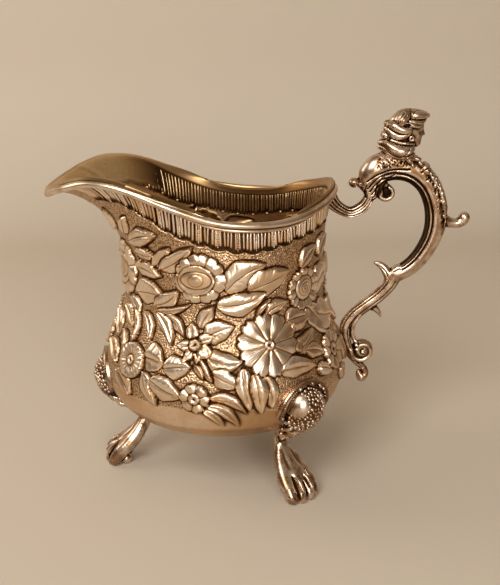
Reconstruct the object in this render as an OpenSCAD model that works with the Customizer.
// Footed cream jug with a drawn-out spout, an applied rim wire, a cast scroll
// handle with a bust thumb-piece, and three cast paw feet under cartouche knees.
// Millimetres. Z is up, the handle points along +X and the spout along -X. The
// origin is on the table, under the axis of the bowl.

/* [Bowl] */
// Radius of the bowl at its widest
belly_r = 38.4; // [36:0.2:41]
// Height of the widest place above the table
belly_z = 38; // [36:0.5:40]
// Height of the underside of the bowl above the table
base_z = 17.6; // [16.5:0.1:18.5]
// Roundness of the bottom, as the power of a superellipse
base_power = 2.8; // [2.4:0.1:3.2]
// Radius of the straight neck
neck_r = 31.6; // [30:0.2:33]
// Height at which the bowl has drawn in to the neck
neck_z = 63; // [61:0.5:66]
// Height at which the neck starts to flare into the rim
flare_z = 69; // [67:0.5:71]
// Thickness of the raised sheet
wall = 0.9; // [0.8:0.1:1.2]

/* [Rim and spout] */
// Reach of the rim over the handle
back_r = 34.6; // [34:0.1:35.4]
// Height of the rim over the handle
back_z = 94; // [92:0.5:95]
// Height of the rim at the sides, where it is lowest
side_z = 87.8; // [86:0.2:89]
// Reach of the spout from the axis
spout_r = 55.2; // [52:0.2:56]
// Height of the tip of the spout
spout_z = 92.4; // [91:0.2:94]
// Height of the raised shoulders beside the spout
lip_z = 98.6; // [97:0.2:99]
// How far down the outside the rim wire reaches
wire_h = 2.8; // [2.4:0.1:3.2]
// How far the rim wire stands out
wire_t = 1.9; // [1.6:0.1:2.2]

/* [Handle] */
// Width of the upper scroll across its middle
scroll_w = 5.6; // [5:0.1:6]
// Depth of the grooves between the reeds, as a share of the section
reed = 0.13; // [0.08:0.01:0.16]
// Radius of the ball on the spur
spur_ball_r = 1.5; // [1.3:0.1:1.7]

/* [Bust] */
// Height of the head from chin to crown
head_h = 9.4; // [8.8:0.1:10]
// Backward lean of the bust, in degrees
head_lean = 10; // [4:1:14]

/* [Feet] */
// Angle between the handle and each of the two rear feet
foot_angle = 52; // [50:1:60]
// Radius of the circle through the ankles
ankle_r = 26.8; // [26:0.2:28]
// Radius of the circle through the toe tips
toe_r = 40.4; // [39:0.2:41]
// Half width of a knee cartouche
knee_w = 8.2; // [7.5:0.1:9]
// Height of the boss of a knee above the bowl
knee_boss = 3.4; // [3:0.1:3.8]

/* [Hidden] */
silver = [0.80, 0.72, 0.62];
old_silver = [0.70, 0.60, 0.50];
FEET = [["front", 180], ["left", foot_angle], ["right", -foot_angle]];
sectors = 40;       // facets round the bowl
eps = 0.01;

// ---- Curves -------------------------------------------------------------

// Slope of column k of a table at row i, level at both ends
function slope(t, i, k) = (i == 0 || i == len(t) - 1) ? 0
    : (t[i + 1][k] - t[i - 1][k]) / (t[i + 1][0] - t[i - 1][0]);

// Smooth curve through the rows of a table: column k at x
function curve(t, x, k) =
    let (i = max([for (j = [0 : len(t) - 2]) if (j == 0 || t[j][0] <= x) j]),
        h = t[i + 1][0] - t[i][0], u = (x - t[i][0]) / h)
    t[i][k] * (1 + 2 * u) * pow(1 - u, 2) + t[i + 1][k] * u * u * (3 - 2 * u)
    + h * u * (1 - u) * (slope(t, i, k) * (1 - u) - slope(t, i + 1, k) * u);

// Points of a smooth path through a few guide points, n steps between neighbours
function guide(g, i) = i < 0 ? 2 * g[0] - g[1]
    : i >= len(g) ? 2 * g[len(g) - 1] - g[len(g) - 2] : g[i];
function path(g, n) = [for (i = [0 : len(g) - 2], j = [0 : n - 1]) path_at(g, i, j / n), g[len(g) - 1]];
function path_at(g, i, u) =
    let (a = guide(g, i - 1), b = g[i], c = g[i + 1], d = guide(g, i + 2))
    0.5 * (2 * b + (c - a) * u + (2 * a - 5 * b + 4 * c - d) * u * u
        + (3 * b - a - 3 * c + d) * u * u * u);

// A coil that shrinks round its eye: [x, z, half depth, half width] along its way
function volute(cx, cz, r0, r1, start, turns, d0, d1, w, n) =
    [for (i = [0 : n]) let (u = i / n, r = r0 + (r1 - r0) * u, a = start + 360 * turns * u)
        [cx + r * cos(a), cz + r * sin(a), d0 + (d1 - d0) * u, w]];

// ---- Solids from rings of points -----------------------------------------

// Closed solid through rings of equal length, each ring closed on itself
module skin(rings) {
    m = len(rings);
    n = len(rings[0]);
    polyhedron(
        points = [for (r = rings, p = r) p],
        faces = [
            for (i = [0 : m - 2], j = [0 : n - 1]) let (k = (j + 1) % n)
                each [[i * n + j, (i + 1) * n + k, i * n + k],
                    [i * n + j, (i + 1) * n + j, (i + 1) * n + k]],
            [for (j = [0 : n - 1]) j],
            [for (j = [n - 1 : -1 : 0]) (m - 1) * n + j]
        ],
        convexity = 6);
}

// The same through a closed chain of rings, with no ends
module skin_loop(rings) {
    m = len(rings);
    n = len(rings[0]);
    polyhedron(
        points = [for (r = rings, p = r) p],
        faces = [for (i = [0 : m - 1], j = [0 : n - 1]) let (l = (i + 1) % m, k = (j + 1) % n)
            each [[i * n + j, l * n + k, i * n + k], [i * n + j, l * n + j, l * n + k]]],
        convexity = 6);
}

// Bar swept along stations [x, z, half depth, half width] in the plane y = 0
module bar(s, sides, groove = 0) {
    last = len(s) - 1;
    skin([for (i = [0 : last])
        let (a = s[max(i - 1, 0)], b = s[min(i + 1, last)], t = atan2(b.y - a.y, b.x - a.x))
        [for (j = [0 : sides - 1])
            let (q = 360 * j / sides, k = 1 - groove * (1 - cos(6 * (q - 30))) / 2,
                across = s[i][2] * cos(q) * k)
            [s[i].x - across * sin(t), -s[i][3] * sin(q) * k, s[i].y + across * cos(t)]]]);
}

// ---- Bowl ---------------------------------------------------------------

// Rim seen from above and from the side: [angle from the handle, reach, height]
rim = [[0, back_r, back_z], [30, back_r - 1.6, back_z - 2.9], [60, neck_r - 0.6, side_z],
    [90, neck_r - 0.6, side_z + 0.6], [120, neck_r + 3, (side_z + lip_z) / 2 + 0.5],
    [138, neck_r + 9.1, lip_z - 0.6], [150, neck_r + 14.3, lip_z + 0.2],
    [162, spout_r - 4.4, lip_z - 2.4], [180, spout_r, spout_z]];

function fold(a) = let (b = abs(a) % 360) b > 180 ? 360 - b : b;
function rim_r(a) = curve(rim, fold(a), 1);
function rim_z(a) = curve(rim, fold(a), 2);

// Meridian of the bowl from under its middle to the foot of the flare: [r, z]
bottom_steps = [0.14, 0.3, 0.46, 0.62, 0.78, 0.9, 1];
ogee_steps = [0.2, 0.38, 0.55, 0.74, 1];
function bottom_point(u) = [belly_r * pow(sin(90 * u), 2 / base_power),
    belly_z - (belly_z - base_z) * pow(cos(90 * u), 2 / base_power)];
function bowl_r(z) = z <= belly_z
    ? belly_r * pow(max(0, 1 - pow((belly_z - z) / (belly_z - base_z), base_power)), 1 / base_power)
    : neck_r + (belly_r - neck_r) * (1 + cos(180 * min(1, (z - belly_z) / (neck_z - belly_z)))) / 2;

// The flare is a quarter of an ellipse from the neck to the rim. Its last part, of
// the height of the wire, has two rings of its own that the wire sits on.
flare_steps = [0.2, 0.4, 0.6, 0.8];
function flare_point(a, q) = [neck_r + (rim_r(a) - neck_r) * (1 - cos(q)),
    flare_z + (rim_z(a) - flare_z) * pow(sin(q), 0.9)];
function seat_angle(a, h) =
    let (rr = pow(rim_r(a) - neck_r, 2), zz = 0.2 * pow(rim_z(a) - flare_z, 2))
    90 - sqrt((sqrt(rr * rr + 4 * zz * h * h) - rr) / (2 * zz)) * 180 / PI;

function meridian(a) = [for (u = bottom_steps) bottom_point(u),
    for (u = ogee_steps) let (z = belly_z + (neck_z - belly_z) * u) [bowl_r(z), z],
    [neck_r, flare_z],
    for (u = flare_steps) flare_point(a, seat_angle(a, wire_h) * u),
    flare_point(a, seat_angle(a, wire_h)), flare_point(a, seat_angle(a, wire_h / 2)),
    flare_point(a, 90)];
rim_ring = len(bottom_steps) + len(ogee_steps) + 1 + len(flare_steps) + 2;

// Meridian moved inwards by the thickness of the sheet
function inner(m, t) = [for (i = [0 : len(m) - 1])
    let (a = m[max(i - 1, 0)], b = m[min(i + 1, len(m) - 1)], d = (b - a) / norm(b - a))
    m[i] + t * [-d.y, d.x]];

sector_angles = [for (i = [0 : sectors - 1]) 360 * i / sectors];
function turn(p, a) = [p.x * cos(a), p.x * sin(a), p.y];
function rings_of(meridians) = [for (i = [0 : len(meridians[0]) - 1])
    [for (j = [0 : sectors - 1]) turn(meridians[j][i], sector_angles[j])]];
outer_meridians = [for (a = sector_angles) meridian(a)];
outer_rings = rings_of(outer_meridians);

// Full body inside the outer face, for seating what is soldered on
module bowl_envelope() skin(outer_rings);

// Raised shell with its drawn-out spout, and the flowers and leaves chased on it
module body() {
    lining = rings_of([for (m = outer_meridians) inner(m, wall)]);
    kept = [for (i = [len(lining) - 1 : -1 : 0]) if (i == rim_ring || i % 2 == 1) lining[i]];
    color(silver) {
        skin(concat(outer_rings, kept));
        difference() {
            chasing();
            skin(rings_of([for (m = outer_meridians) inner(m, wall / 2)]));
        }
    }
}

// Flowers on each side: [degrees from the handle, height of the middle, radius, petals]
flowers = [[163, 70.4, 8.6, 6], [140, 45, 5.3, 5], [104, 72, 7, 6], [105.5, 52.8, 5.4, 5],
    [104.5, 37.8, 4.3, 5], [69.3, 52.1, 9.3, 10], [43, 66.5, 6.5, 6], [27.5, 45, 6, 5]];
// Flowers on the middle line, under the spout and behind the handle
middle_flowers = [[180, 49.5, 7.4, 6], [0, 61, 5.4, 5]];
// Leaves on each side: [foot's degrees and height, tip's degrees and height, width]
leaves = [[146, 64.5, 124, 65.6, 6.2], [90.5, 68.4, 69, 75.6, 6.4], [95, 64.4, 69.5, 67.4, 5.6],
    [101.5, 54.8, 86, 58.2, 5.2], [99.5, 50.3, 82.5, 48.4, 5.6], [132, 45.2, 120.4, 46.6, 7.6],
    [126, 41.3, 108, 37.8, 6], [65, 44.2, 46, 43.3, 5.8], [58, 58, 40.5, 57.8, 6.2],
    [33, 62, 12, 58, 8]];
lift = 1.25;        // height of the relief

// Radius of the bowl at any angle and height, and a point h off its outer face
function sheet_r(a, z) = z <= flare_z ? bowl_r(z)
    : let (s = pow((z - flare_z) / (rim_z(a) - flare_z), 1 / 0.9))
        neck_r + (rim_r(a) - neck_r) * (1 - sqrt(max(0, 1 - s * s)));
function on_sheet(a, z, h) =
    let (r = sheet_r(a, z), n = [1, sheet_r(a, z - 0.5) - sheet_r(a, z + 0.5)])
    turn([r, z] + h * n / norm(n), a);

// Open flower: petals that stand highest along their middles
module flower(angle, z, radius, petals) {
    girth = sheet_r(angle, z) * PI / 180;
    skin([for (g = [[1, -0.4], [0.95, 0.65], [0.4, 1]])
        [for (j = [0 : 2 * petals - 1])
            let (q = 180 * j / petals, between = j % 2, r = radius * g[0] * (1 - 0.16 * between))
            on_sheet(angle + r * cos(q) / girth, z + r * sin(q), lift * g[1] * (1 - 0.6 * between))]]);
}

// Pointed leaf with a ridge along its middle
module leaf(foot, tip, width) {
    girth = sheet_r(foot.x, foot.y) * PI / 180;
    way = [(tip.x - foot.x) * girth, tip.y - foot.y];
    side = [-way.y, way.x] / norm(way) * width / 2;
    spots = concat(
        [for (s = [[0, 0], [0.25, 0.8], [0.25, -0.8], [0.6, 0.9], [0.6, -0.9], [1, 0]]) [s.x, s.y, -0.2]],
        [[0.1, 0, 0.5 * lift], [0.5, 0.25, lift], [0.85, 0, 0.75 * lift]]);
    hull() polyhedron(
        points = [for (s = spots) let (p = way * s.x + side * s.y)
            on_sheet(foot.x + p.x / girth, foot.y + p.y, s[2])],
        faces = [[for (i = [0 : len(spots) - 1]) i]]);
}

module chasing() {
    for (side = [-1, 1]) {
        for (f = flowers) flower(side * f[0], f[1], f[2], f[3]);
        for (l = leaves) leaf([side * l[0], l[1]], [side * l[2], l[3]], l[4]);
    }
    for (f = middle_flowers) flower(f[0], f[1], f[2], f[3]);
}

// Moulded wire along the outside of the rim: a bead over a small step
module rim_wire() {
    bead = [for (q = [112, 65, 20, -25, -70]) [0.42 + 0.5 * cos(q), -0.3 + 0.36 * sin(q)]];
    step = [for (q = [20, -40, -100]) [0.22 + 0.26 * cos(q), -0.82 + 0.17 * sin(q)]];
    color(silver) skin_loop([for (j = [0 : sectors - 1])
        let (m = outer_meridians[j], a = sector_angles[j],
            up = (m[rim_ring] - m[rim_ring - 2]) / norm(m[rim_ring] - m[rim_ring - 2]),
            out = [up.y, -up.x])
        [for (i = [rim_ring - 2 : rim_ring]) turn(m[i], a),
            for (p = concat(bead, step)) turn(m[rim_ring] + out * p.x * wire_t + up * p.y * wire_h, a)]]);
}

// ---- Handle -------------------------------------------------------------

// Guide points of the handle: [x, z, half depth, half width]
half_w = scroll_w / 2;
junction = [54.9, 63.7, 2.5, 2.4];
crown = [
    [46.2, 90.4, 2.2, 2.2], [46.3, 94.6, 3.9, 2.9], [49.2, 98.6, 4.9, half_w + 0.4],
    [54.6, 98.9, 4.3, half_w], [59.8, 97.1, 3.9, half_w], [63.9, 93.2, 3.6, half_w],
    [66.4, 87.8, 3.5, half_w], [67.3, 82, 3.5, half_w], [66.2, 76.2, 3.1, half_w - 0.1],
    [63.4, 70.6, 2.9, half_w - 0.2], [59.6, 66.4, 2.7, half_w - 0.3], junction];
bracket = [
    [32.8, 89.4, 2.7, 2.6], [35.4, 86.5, 2, 2.4], [39.6, 84.5, 1.7, 2.3], [43.6, 86, 1.8, 2.2],
    [45.7, 89.6, 1.5, 2], [44.9, 92.6, 1.1, 1.9], [42.6, 94.4, 0.9, 1.9], [40.3, 94.2, 0.9, 1.9],
    [39.6, 92.8, 0.7, 1.8]];
spur = [
    [68.8, 83, 1.7, 1.7], [71.2, 81.2, 1.4, 1.4], [73.6, 80.3, 1.2, 1.2], [75.6, 80.9, 1.1, 1.1],
    [76.6, 82.4, 1, 1]];
stem = [
    junction, [53.2, 60.4, 2.2, 2.2], [50, 56.9, 2.1, 2.1], [45.8, 53.6, 2.1, 2.1],
    [42, 50.4, 2.1, 2], [39.7, 46.8, 2, 2], [39.6, 43, 1.7, 1.9], [41.1, 38.6, 1.3, 1.8]];
tail = [[39.6, 41.4, 1.2], [40.8, 37.6, 1.1], [43.2, 34.5, 1], [45.6, 32.4, 1], [46.5, 30.4, 1.1],
    [45.4, 28.5, 1.6]];  // [x, z, radius]

module ball(x, z, r) translate([x, 0, z]) sphere(r, $fn = 10);

// Leaf lobe that lies over the bar: a fat end, a thin end, set off to one side
module lobe(a, b, ra, rb, y) hull() {
    translate([a.x, y, a.y]) sphere(ra, $fn = 6);
    translate([b.x, y * 1.3, b.y]) sphere(rb, $fn = 6);
}

// Round tendril through points [x, z, radius] in the plane of the handle
module chain(p) for (i = [0 : len(p) - 2]) lobe(p[i], p[i + 1], p[i][2], p[i + 1][2], 0);

// Acanthus leaf over the back of the crown, its tips standing off the bar
module leaf_cap() {
    back = [for (i = [4 : 0.9 : 6.8])
        let (p = path_at(crown, floor(i), i % 1), a = path_at(crown, floor(i - 0.2), (i - 0.2) % 1),
            t = atan2(p.y - a.y, p.x - a.x))
        [p.x - p[2] * sin(t) * 0.86, p.y + p[2] * cos(t) * 0.86]];
    for (i = [0 : 2]) {
        lobe(back[i], back[i + 1], 1.2, 1.2, 0);
        for (side = [-1, 1]) lobe(back[i], back[i + 1] + [0.5, 0.5], 1.5, 0.8, 1.1 * side);
    }
    for (side = [-1, 1]) {
        lobe([44.4, 96.6], [48.6, 101.4], 1.6, 2, 1.5 * side);
        lobe([45, 92.6], [47.4, 97.2], 1.3, 1.8, 1.9 * side);
    }
}

// Upper half of the handle: bracket to the rim, crown with its leaf, and spur
module upper_raw() {
    bar(path(crown, 2), 12, reed);
    bar(path(bracket, 2), 8);
    bar(path(spur, 2), 8);
    ball(76.7, 82.7, spur_ball_r);
    bar(volute(50.9, 90.9, 2.6, 0.5, 100, 1.1, 1, 0.9, 2, 12), 8);
    bar([[49.6, 94.6, 1.4, 2.2], [48.9, 92.8, 1.2, 2.1], [49.2, 90.6, 1, 2]], 8);
    leaf_cap();
}

module handle_upper_scroll() color(old_silver) difference() {
    upper_raw();
    bowl_envelope();
    rim_wire();
}

// Lower half: the stem with its leaf tip and thorn, the volute and the tail
module handle_lower_scroll() color(old_silver) difference() {
    union() {
        bar(path(stem, 2), 12, reed * 0.7);
        bar(volute(45.3, 38.2, 4.3, 1, 178, 1.4, 1.2, 0.9, 2, 18), 8);
        ball(45.3, 38.2, 1.9);
        chain(tail);
        chain([[52.6, 63.2, 1.5], [51.4, 65.9, 1.2], [50, 67.4, 0.8], [48.5, 67.8, 0.3]]);
        chain([[46.6, 53, 1], [48.6, 52.4, 0.9], [50.4, 50.9, 0.6], [51.2, 49.3, 0.3]]);
    }
    bowl_envelope();
    handle_upper_scroll();
}

// ---- Bust ---------------------------------------------------------------

bust_seat = [53.8, 102.4];

// Ball stretched along its own axes, then leaned in the plane of the handle
module pebble(x, y, z, size, lean = 0) translate([x, y, z]) rotate([0, lean, 0]) scale(size)
    sphere(1, $fn = 8);

// Rope of hair or cloth through points given from the seat of the bust
module strand(points, r0, r1) {
    n = len(points) - 1;
    for (i = [0 : n - 1]) hull() {
        translate(points[i]) sphere(r0 + (r1 - r0) * i / n, $fn = 6);
        translate(points[i + 1]) sphere(r0 + (r1 - r0) * (i + 1) / n, $fn = 6);
    }
}

module head() {
    k = head_h / 9.4;
    scale(k) {
        pebble(0, 0, 0, [4.4, 3.7, 4.6]);                   // skull
        pebble(2.2, 0, -2, [2.7, 2.7, 3]);                  // face
        pebble(3.3, 0, -3.9, [1.5, 1.5, 1.2]);              // chin
        strand([[4.4, 0, 0.4], [5.3, 0, -1.4]], 0.5, 0.75);  // nose
        for (y = [-1.3, 1.3]) {
            strand([[3.9, y * 0.4, 0.7], [3.2, y * 1.7, 0.4]], 0.55, 0.4);  // brows
            pebble(3.7, y, -0.5, [0.7, 0.75, 0.5]);         // eyelids
        }
        strand([[4.2, -0.9, -2.9], [4.6, 0, -2.8], [4.2, 0.9, -2.9]], 0.42, 0.42); // lips
    }
}

module hair() {
    for (side = [-1, 1]) {
        strand([[4.8, 1.1 * side, 3.8], [1.6, 2.9 * side, 2.8], [-2.6, 3.3 * side, 0.4]], 1.1, 1.7);
        strand([[2.2, 3 * side, 1.4], [-1, 3.7 * side, -1], [-3.8, 2.4 * side, -2.4]], 1, 1.4);
    }
    strand([[5.8, 0, 4.4], [2.2, 0, 4.2], [-2.4, 0, 3.2], [-4.8, 0, 0]], 0.8, 2);
    pebble(-4.6, 0, -3, [1.9, 2.3, 1.8]);
}

// Head and draped shoulders, looking outwards over the handle
module bust_thumbpiece() color(silver) difference() {
    translate([bust_seat.x, 0, bust_seat.y]) {
        translate([3.3, 0, 8.3]) rotate([0, -head_lean, 0]) {
            head();
            hair();
        }
        strand([[2.6, 0, 6.4], [1, 0, 1.4]], 2.6, 3);
        strand([[-3.4, -1.6, 3.2], [0.8, -3.4, 1.8], [4.6, -1.8, 1.4]], 1.5, 1.3);
        strand([[-3.4, 1.6, 3.2], [0.8, 3.4, 1.8], [4.6, 1.8, 1.4]], 1.5, 1.3);
        strand([[-4.2, 0, 4.4], [-3.6, 0, 1]], 1.4, 1.8);
        pebble(0.6, 0, 0.4, [5.2, 3.6, 2.2]);
    }
    bar(path(crown, 2), 12, reed);
}

// ---- Feet ---------------------------------------------------------------

knee_z = 30.6;       // height of the middle of a knee
knee_rings = [[1, 0.12], [0.9, 0.36], [0.78, 0.34], [0.68, 0.16], [0.6, 0.4], [0.44, 0.78], [0.24, 0.96],
    [0, 1]];         // [share of the outline, share of the boss height]
knee_spokes = 18;

// Point over the bowl at height z, w to the side, h off the sheet, for a foot at angle 0
function over_bowl(w, z, h) =
    let (r = bowl_r(z), a = w / r * 180 / PI, dr = (bowl_r(z + 0.5) - bowl_r(z - 0.5)),
        n = [1, -dr] / norm([1, dr]))
    turn([r + h * n.x, z + h * n.y], a);

// Outline of the cartouche: arched at the top and drawn in towards the ankle
function knee_outline(q) =
    let (up = sin(q), w = knee_w * (up < 0 ? 1 + 0.62 * up : 1 - 0.08 * up))
    [w * cos(q), (up < 0 ? 8.4 : 10) * up];

// Knee cartouche: an oval boss inside a raised border, seated on the bowl
module knee(angle) {
    back = [for (u = [eps, 0.5, 1]) [for (j = [0 : knee_spokes - 1])
        let (p = knee_outline(360 * j / knee_spokes) * u) over_bowl(p.x, knee_z + p.y, 0)]];
    face = [for (r = knee_rings) [for (j = [0 : knee_spokes - 1])
        let (p = knee_outline(360 * j / knee_spokes) * max(r.x, eps))
        over_bowl(p.x, knee_z + p.y, knee_boss * r.y)]];
    color(silver) rotate(angle) skin(concat(back, face));
}

// Paw: a bent leg under a curled leaf, widening to four toes with claws, cut level
// where it stands
leg = [[ankle_r + 1.9, 22.2, 1.5, 2.6], [ankle_r + 0.5, 19, 1.6, 2.1], [ankle_r, 15.6, 1.7, 1.8],
    [ankle_r + 1.2, 12.2, 2.1, 2.6], [ankle_r + 4, 9, 2.7, 4], [toe_r - 6.4, 6.4, 3, 5],
    [toe_r - 4, 4.4, 2.4, 4.6]];
toes = [[-4.8, 1.4], [-1.7, 0], [1.7, 0], [4.8, 1.4]];      // [offset to the side, set back]
knuckle_r = 1.8;
sole_r = 33.8;                                              // reach of the pad behind the toes
curls = [-3.1, 0, 3.1];                                     // curled leaf ends behind the ankle

module toe(side, back) hull_chain([
    [toe_r - 8.4 - back, side * 0.7, 7.8, 1], [toe_r - 3.9 - back, side, 5.1, knuckle_r],
    [toe_r - 1.8 - back, side * 1.08, 1.4, knuckle_r * 0.9], [toe_r - 0.5 - back, side * 1.12, 0.9, 0.4]]);

// Rounded finger through points [x, y, z, radius]
module hull_chain(p) for (i = [0 : len(p) - 2]) hull() {
    translate([p[i].x, p[i].y, p[i].z]) sphere(p[i][3], $fn = 6);
    translate([p[i + 1].x, p[i + 1].y, p[i + 1].z]) sphere(p[i + 1][3], $fn = 6);
}

module paw(angle) color(silver) rotate(angle) difference() {
    union() {
        bar(path(leg, 2), 8);
        for (t = toes) toe(t[0], t[1]);
        for (y = curls) hull_chain([[ankle_r + 6.6, y, 21.8, 1.7], [ankle_r + 2.6, y * 0.4, 20, 1.5]]);
        hull_chain([[sole_r, 2.8, 1.4, 2], [sole_r, -2.8, 1.4, 2]]);
    }
    translate([0, -20, -10]) cube([60, 40, 10]);
    rotate(-angle) bowl_envelope();
    rotate(-angle) knee(angle);
}

body();
rim_wire();
handle_upper_scroll();
handle_lower_scroll();
bust_thumbpiece();
for (f = FEET) {
    knee(f[1]);
    paw(f[1]);
}
